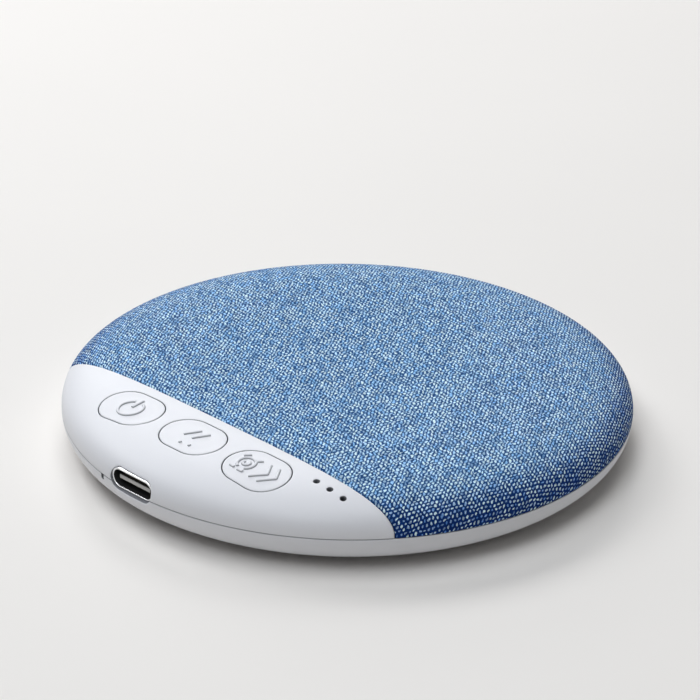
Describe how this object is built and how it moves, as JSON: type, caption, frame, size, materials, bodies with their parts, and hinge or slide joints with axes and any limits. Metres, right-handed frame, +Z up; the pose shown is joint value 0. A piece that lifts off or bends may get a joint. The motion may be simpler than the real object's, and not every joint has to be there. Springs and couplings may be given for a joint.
{
  "type": "white noise sound machine",
  "caption": "Flat round portable sound machine with a cloth-covered speaker, a white control panel with flush pill-shaped keys and a USB-C charging socket in its rim",
  "frame": {"origin": "centre of the circle on the surface that the feet stand on", "axes": "+Z up; the control panel and the USB-C socket face -Y; +X to the right of someone facing the panel"},
  "size_m": [0.09, 0.0899, 0.0119],
  "materials": {
    "white_plastic": "satin",
    "blue_cloth": "woven, two tones of blue",
    "switch_plastic": "matte",
    "plunger_plastic": "matte",
    "board": "satin solder mask",
    "screw_steel": "satin",
    "socket_steel": "bright",
    "blade_plastic": "matte",
    "lamp": "clear",
    "shroud_rubber": "matte",
    "chip_plastic": "matte",
    "small_part_body": "matte",
    "lead_plastic": "satin",
    "cell_foil": "satin",
    "foam": "open foam",
    "frame_steel": "satin",
    "magnet": "nickel plated",
    "coil_wire": "enamelled copper",
    "cone_paper": "matte",
    "surround_rubber": "matte",
    "foot_rubber": "matte"
  },
  "bodies": {
    "case": {"lower_shell": "white_plastic", "top_shell": "white_plastic", "cloth_cover": "blue_cloth", "power_switch": "switch_plastic", "sound_switch": "switch_plastic", "timer_switch": "switch_plastic", "main_board": "board", "board_screws": "screw_steel", "case_screws": "screw_steel", "usb_shell": "socket_steel", "usb_blade": "blade_plastic", "charge_light": "lamp", "light_shroud": "shroud_rubber", "light_left": "lamp", "light_middle": "lamp", "light_right": "lamp", "sound_chip": "chip_plastic", "amplifier_chip": "chip_plastic", "charger_chip": "chip_plastic", "small_parts": "small_part_body", "battery_socket": "plunger_plastic", "speaker_socket": "plunger_plastic", "battery_leads": "lead_plastic", "speaker_leads": "lead_plastic", "battery_cell": "cell_foil", "battery_pad": "foam", "speaker_frame": "frame_steel", "speaker_yoke": "frame_steel", "speaker_magnet": "magnet", "speaker_plate": "frame_steel", "speaker_surround": "surround_rubber", "speaker_gasket": "foam", "speaker_pad": "foam", "foot_front_left": "foot_rubber", "foot_front_right": "foot_rubber", "foot_back_left": "foot_rubber", "foot_back_right": "foot_rubber"},
    "power_button": {"power_key": "white_plastic", "power_plunger": "plunger_plastic"},
    "sound_button": {"sound_key": "white_plastic", "sound_plunger": "plunger_plastic"},
    "timer_button": {"timer_key": "white_plastic", "timer_plunger": "plunger_plastic"},
    "diaphragm": {"speaker_cone": "cone_paper", "voice_coil": "coil_wire"}
  },
  "joints": [
    {"name": "power_press", "type": "slide", "parent": "case", "child": "power_button", "axis": [0, 0, -1], "range_m": [0, 0.00025], "stiffness_N_per_m": 4000, "springref_m": -0.0001},
    {"name": "sound_press", "type": "slide", "parent": "case", "child": "sound_button", "axis": [0, 0, -1], "range_m": [0, 0.00025], "stiffness_N_per_m": 4000, "springref_m": -0.0001},
    {"name": "timer_press", "type": "slide", "parent": "case", "child": "timer_button", "axis": [0, 0, -1], "range_m": [0, 0.00025], "stiffness_N_per_m": 4000, "springref_m": -0.0001},
    {"name": "diaphragm_travel", "type": "slide", "parent": "case", "child": "diaphragm", "axis": [0, 0, 1], "range_m": [-0.00025, 0.00025], "stiffness_N_per_m": 400, "deforming": ["speaker_surround"]}
  ]
}
